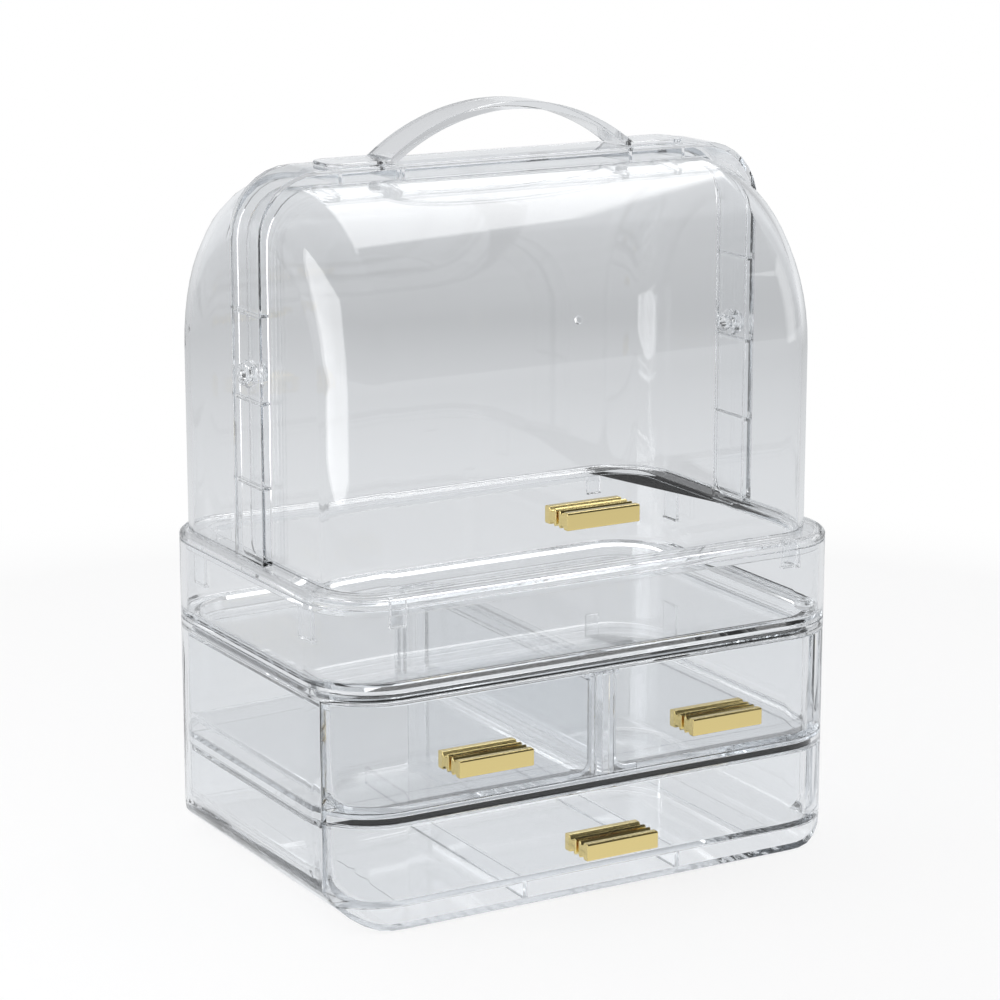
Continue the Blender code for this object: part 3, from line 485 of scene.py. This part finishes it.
def gate_mark_shape():
    """The small round mark left by the moulding gate on the lid's front."""
    across, height = GATE_MARK_PLACE
    pivot = next(joint["pos_m"] for joint in frame["joints"] if joint["name"] == "lid_hinge")
    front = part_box("front_lid")[0][1]
    radius = pivot[1] - front
    lean = asin((height - pivot[2]) / radius)
    outwards = Vector((0, -cos(lean), sin(lean)))
    shape = bmesh.new()
    bmesh.ops.create_cone(
        shape, cap_ends=True, segments=GATE_MARK_SIDES, radius1=GATE_MARK_RADII[0],
        radius2=GATE_MARK_RADII[1], depth=GATE_MARK_HEIGHT,
    )
    turn = outwards.to_track_quat("Z", "Y").to_matrix().to_4x4()
    distance = radius + GATE_MARK_HEIGHT / 2 + GATE_MARK_GAP
    seat = Vector((across, pivot[1], pivot[2])) + outwards * distance
    bmesh.ops.transform(shape, matrix=Matrix.Translation(seat) @ turn, verts=shape.verts)
    round_edges(shape, GATE_MARK_EDGE)
    return shape


class MAKEUPBOX_OT_lower_box(bpy.types.Operator):
    """Add the drawer case with its shelf and divider"""

    bl_idname = "makeup_box.lower_box"
    bl_label = "Add Drawer Case"

    def execute(self, context):
        for node in ("drawer_case", "drawer_shelf", "drawer_divider"):
            clear_copy(node)
        return {"FINISHED"}


class MAKEUPBOX_OT_drawers(bpy.types.Operator):
    """Add the bottom drawer and the two upper drawers"""

    bl_idname = "makeup_box.drawers"
    bl_label = "Add Drawers"

    def execute(self, context):
        for end in ("bottom", "left", "right"):
            clear_copy(end + "_drawer", PULL_BODIES[end])
        return {"FINISHED"}


class MAKEUPBOX_OT_tray(bpy.types.Operator):
    """Add the tray, its rim and its corner stud"""

    bl_idname = "makeup_box.tray"
    bl_label = "Add Tray"

    def execute(self, context):
        clear_copy("tray")
        clear_copy("tray_rim")
        stud = merged_copy("corner_stud")
        round_edges(stud, STUD_ROUNDING, STUD_STEPS)
        place_clear(stud, "clear_corner_stud", "corner_stud")
        return {"FINISHED"}


class MAKEUPBOX_OT_arch(bpy.types.Operator):
    """Add the arched frame and the carry handle"""

    bl_idname = "makeup_box.arch"
    bl_label = "Add Arched Frame"

    def execute(self, context):
        edge = settings().makeup_box_plastic.shell_edge
        for node, shape in (("arch_frame", arch_shape()), ("carry_handle", handle_shape())):
            round_edges(shape, edge)
            place_clear(shape, "clear_" + node, node)
        return {"FINISHED"}


class MAKEUPBOX_OT_dome(bpy.types.Operator):
    """Add the rear cover, the front lid and the hinge pins"""

    bl_idname = "makeup_box.dome"
    bl_label = "Add Dome"

    def execute(self, context):
        clear_copy("rear_cover")
        clear_copy("front_lid", "lid")
        place_clear(gate_mark_shape(), "clear_gate_mark", body="lid")
        for end in ("left", "right"):
            clear_copy("hinge_pin_" + end, small=True)
        return {"FINISHED"}


class MAKEUPBOX_OT_pulls(bpy.types.Operator):
    """Add the four gold-coloured pulls"""

    bl_idname = "makeup_box.pulls"
    bl_label = "Add Pulls"

    def execute(self, context):
        radius = settings().makeup_box_metal.pull_edge
        for end, body in PULL_BODIES.items():
            for node in (end + "_pull", end + "_pull_back"):
                shape = merged_copy(node)
                round_edges(shape, radius)
                place_piece(shape, "gold_" + node, body, "gold", gold_plating(), node)
        return {"FINISHED"}


class MAKEUPBOX_OT_screws(bpy.types.Operator):
    """Give the screws their steel and end the handle's screws inside its tabs"""

    bl_idname = "makeup_box.screws"
    bl_label = "Dress Screws"

    def execute(self, context):
        tab_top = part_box("carry_handle")[0][2] + settings().makeup_box_handle.tab_thickness
        limit = tab_top - SCREW_COVER
        for name, item in frame["nodes"].items():
            if name.startswith("handle_screw"):
                shape = merged_copy(name)
                for vertex in shape.verts:
                    vertex.co.z = min(vertex.co.z, limit)
                place_piece(shape, "steel_" + name, "box", "steel", screw_steel(), name)
            elif "screw" in name:
                item.data.materials.clear()
                item.data.materials.append(screw_steel())
        return {"FINISHED"}


class MAKEUPBOX_OT_studio(bpy.types.Operator):
    """Set the floor, the background, the lamps and the camera"""

    bl_idname = "makeup_box.studio"
    bl_label = "Set Studio"

    def execute(self, context):
        pale_floor()
        white_background()
        studio_lamps()
        studio_camera()
        context.scene.view_settings.view_transform = "Standard"
        context.scene.cycles.max_bounces = LIGHT_BOUNCES
        context.scene.cycles.transmission_bounces = LIGHT_BOUNCES
        context.scene.cycles.glossy_bounces = LIGHT_BOUNCES
        context.scene.cycles.transparent_max_bounces = SEE_THROUGH_BOUNCES
        return {"FINISHED"}


def math_node(tree, operation, first, second):
    """A Math node on two sockets or numbers."""
    node = tree.nodes.new("ShaderNodeMath")
    node.operation = operation
    for place, value in enumerate((first, second)):
        if isinstance(value, bpy.types.NodeSocket):
            tree.links.new(value, node.inputs[place])
        else:
            node.inputs[place].default_value = value
    return node.outputs[0]


def ease(tree, value, start, end):
    """A smooth step of a socket's value from 0 to 1 between start and end."""
    node = tree.nodes.new("ShaderNodeMapRange")
    node.interpolation_type = "SMOOTHSTEP"
    tree.links.new(value, node.inputs["Value"])
    node.inputs["From Min"].default_value = start
    node.inputs["From Max"].default_value = end
    return node.outputs["Result"]


def grey_ramp(tree, value, stops):
    """A colour ramp of greys, from (position, level) pairs."""
    node = tree.nodes.new("ShaderNodeValToRGB")
    ramp = node.color_ramp
    for number, (place, level) in enumerate(stops):
        stop = ramp.elements[number] if number < 2 else ramp.elements.new(place)
        stop.position = place
        stop.color = (*(level * share for share in COOL_GREY), 1)
    tree.links.new(value, node.inputs["Fac"])
    return node.outputs["Color"]


def blend_shaders(tree, share, first, second):
    """Mix two shaders by a socket or a number."""
    mix = tree.nodes.new("ShaderNodeMixShader")
    if isinstance(share, bpy.types.NodeSocket):
        tree.links.new(share, mix.inputs[0])
    else:
        mix.inputs[0].default_value = share
    tree.links.new(first.outputs[0], mix.inputs[1])
    tree.links.new(second.outputs[0], mix.inputs[2])
    return mix


def pale_floor():
    """A pale floor, plain to the camera, that looks white and keeps the object's shadow; to
    glossy and transmission rays it glows with painted greys by distance, a painted reflection of
    studio light and shade.
    """
    shape = bmesh.new()
    bmesh.ops.create_grid(shape, x_segments=1, y_segments=1, size=FLOOR_REACH)
    bmesh.ops.translate(shape, verts=shape.verts, vec=(0, 0, -FLOOR_GAP))
    mesh = bpy.data.meshes.new("floor")
    shape.to_mesh(mesh)
    shape.free()
    floor = bpy.data.objects.new("floor", mesh)
    bpy.context.scene.collection.objects.link(floor)
    material = bpy.data.materials.new("pale_floor")
    tree = node_tree(material)
    plain = add_node(
        tree, "ShaderNodeBsdfDiffuse", Color=(*settings().makeup_box_studio.floor_colour, 1)
    )
    white = add_node(tree, "ShaderNodeEmission", Color=WHITE, Strength=1.0)
    # painted reflection: a glow in greys by distance from the middle, seen only in reflections
    # and through the plastic
    painted_reflection_glow = add_node(tree, "ShaderNodeEmission", Strength=1.0)
    place = tree.nodes.new("ShaderNodeTexCoord")
    length = tree.nodes.new("ShaderNodeVectorMath")
    length.operation = "LENGTH"
    tree.links.new(place.outputs["Object"], length.inputs[0])
    distance = math_node(tree, "DIVIDE", length.outputs["Value"], FLOOR_REACH)
    tree.links.new(grey_ramp(tree, distance, FLOOR_PAINTED_REFLECTION_GREYS), painted_reflection_glow.inputs["Color"])
    path = tree.nodes.new("ShaderNodeLightPath")
    far = ease(tree, distance, *FLOOR_FADE)
    white_share = math_node(tree, "MAXIMUM", far, FLOOR_WHITE_SHARE)
    camera_share = math_node(tree, "MULTIPLY", path.outputs["Is Camera Ray"], white_share)
    seen = math_node(
        tree, "MAXIMUM", path.outputs["Is Glossy Ray"], path.outputs["Is Transmission Ray"]
    )
    lit = blend_shaders(tree, camera_share, plain, white)
    output = tree.nodes.new("ShaderNodeOutputMaterial")
    tree.links.new(blend_shaders(tree, seen, lit, painted_reflection_glow).outputs[0], output.inputs["Surface"])
    mesh.materials.append(material)


def slanted(tree, value, rim):
    """A rim that moves with a direction's value, from its start and its slope."""
    start, slope = rim
    return math_node(tree, "ADD", math_node(tree, "MULTIPLY", value, slope), start)


def top_light_mask(tree, across, along, up):
    """1 in the directions of the top light, 0 in all others, soft at its rims."""
    front_rim = math_node(tree, "SUBTRACT", along, slanted(tree, across, TOP_LIGHT_FRONT))
    right_rim = math_node(tree, "SUBTRACT", slanted(tree, along, TOP_LIGHT_RIGHT), across)
    left_rim = math_node(tree, "SUBTRACT", across, TOP_LIGHT_LEFT)
    foot = math_node(tree, "SUBTRACT", up, TOP_LIGHT_FOOT)
    sides = math_node(tree, "MINIMUM", left_rim, right_rim)
    inside = math_node(tree, "MINIMUM", math_node(tree, "MINIMUM", front_rim, foot), sides)
    return ease(tree, inside, 0.0, TOP_LIGHT_SOFTNESS)


def white_background():
    """A world that is white to the camera and a graded studio to plastic and metal."""
    world = bpy.data.worlds.new("studio")
    bpy.context.scene.world = world
    world.use_nodes = True
    tree = world.node_tree
    tree.nodes.clear()
    direction = tree.nodes.new("ShaderNodeTexCoord")
    axes = tree.nodes.new("ShaderNodeSeparateXYZ")
    tree.links.new(direction.outputs["Generated"], axes.inputs[0])
    across, along, up = axes.outputs
    behind = ease(tree, along, *REAR_EDGE)
    front_room = add_node(tree, "ShaderNodeBackground", Strength=1.0)
    rear_room = add_node(tree, "ShaderNodeBackground", Strength=1.0)
    tree.links.new(grey_ramp(tree, up, FRONT_GREYS), front_room.inputs["Color"])
    tree.links.new(grey_ramp(tree, up, REAR_GREYS), rear_room.inputs["Color"])
    room = blend_shaders(tree, behind, front_room, rear_room)
    light = add_node(tree, "ShaderNodeBackground", Color=WHITE, Strength=TOP_LIGHT_LEVEL)
    plain = add_node(tree, "ShaderNodeBackground", Color=WHITE, Strength=PLAIN_LEVEL)
    white = add_node(tree, "ShaderNodeBackground", Color=WHITE, Strength=1.0)
    path = tree.nodes.new("ShaderNodeLightPath")
    studio = blend_shaders(tree, top_light_mask(tree, across, along, up), room, light)
    diffuse = blend_shaders(tree, path.outputs["Is Diffuse Ray"], studio, plain)
    seen = blend_shaders(tree, path.outputs["Is Camera Ray"], diffuse, white)
    output = tree.nodes.new("ShaderNodeOutputWorld")
    tree.links.new(seen.outputs[0], output.inputs["Surface"])


def studio_camera():
    """The camera, at the photo's viewing angle."""
    studio = settings().makeup_box_studio
    camera = bpy.data.objects.new("camera", bpy.data.cameras.new("camera"))
    camera.location = studio.camera_place
    camera.rotation_euler = studio.camera_turn
    camera.data.lens = studio.camera_lens
    bpy.context.scene.collection.objects.link(camera)
    bpy.context.scene.camera = camera


def studio_lamps():
    """A tall soft box at the left and a weaker one at the right."""
    for name, place, size, power in SOFT_BOXES:
        lamp = bpy.data.lights.new(name, "AREA")
        lamp.shape = "RECTANGLE"
        lamp.size, lamp.size_y = size
        lamp.energy = power
        item = bpy.data.objects.new(name, lamp)
        item.location = place
        aim = Vector((0, 0, place[2])) - Vector(place)
        item.rotation_euler = aim.to_track_quat("-Z", "Y").to_euler()
        bpy.context.scene.collection.objects.link(item)


STEPS = (
    MAKEUPBOX_OT_lower_box,
    MAKEUPBOX_OT_drawers,
    MAKEUPBOX_OT_tray,
    MAKEUPBOX_OT_arch,
    MAKEUPBOX_OT_dome,
    MAKEUPBOX_OT_pulls,
    MAKEUPBOX_OT_screws,
    MAKEUPBOX_OT_studio,
)


class MAKEUPBOX_PT_panel(bpy.types.Panel):
    """Buttons and settings of the makeup box"""

    bl_label = "Makeup Box"
    bl_idname = "MAKEUPBOX_PT_panel"
    bl_space_type = "VIEW_3D"
    bl_region_type = "UI"
    bl_category = "Makeup Box"

    def draw(self, context):
        for step in STEPS:
            self.layout.operator(step.bl_idname)
        for group_name, kind in GROUPS.items():
            for name in kind.__annotations__:
                self.layout.prop(getattr(context.scene, group_name), name)


GROUPS = {
    "makeup_box_plastic": MakeupBoxPlastic,
    "makeup_box_metal": MakeupBoxMetal,
    "makeup_box_handle": MakeupBoxHandle,
    "makeup_box_studio": MakeupBoxStudio,
}


def register():
    """Register the settings, the operators and the panel."""
    for name, group in GROUPS.items():
        bpy.utils.register_class(group)
        setattr(bpy.types.Scene, name, bpy.props.PointerProperty(type=group))
    for step in (*STEPS, MAKEUPBOX_PT_panel):
        bpy.utils.register_class(step)


def unregister():
    """Take the panel, the operators and the settings away again."""
    for step in (MAKEUPBOX_PT_panel, *reversed(STEPS)):
        bpy.utils.unregister_class(step)
    for name, group in GROUPS.items():
        delattr(bpy.types.Scene, name)
        bpy.utils.unregister_class(group)


def main():
    """Dress the whole box."""
    register()
    bpy.ops.makeup_box.lower_box()
    bpy.ops.makeup_box.drawers()
    bpy.ops.makeup_box.tray()
    bpy.ops.makeup_box.arch()
    bpy.ops.makeup_box.dome()
    bpy.ops.makeup_box.pulls()
    bpy.ops.makeup_box.screws()
    bpy.ops.makeup_box.studio()


if __name__ == "__main__":
    main()
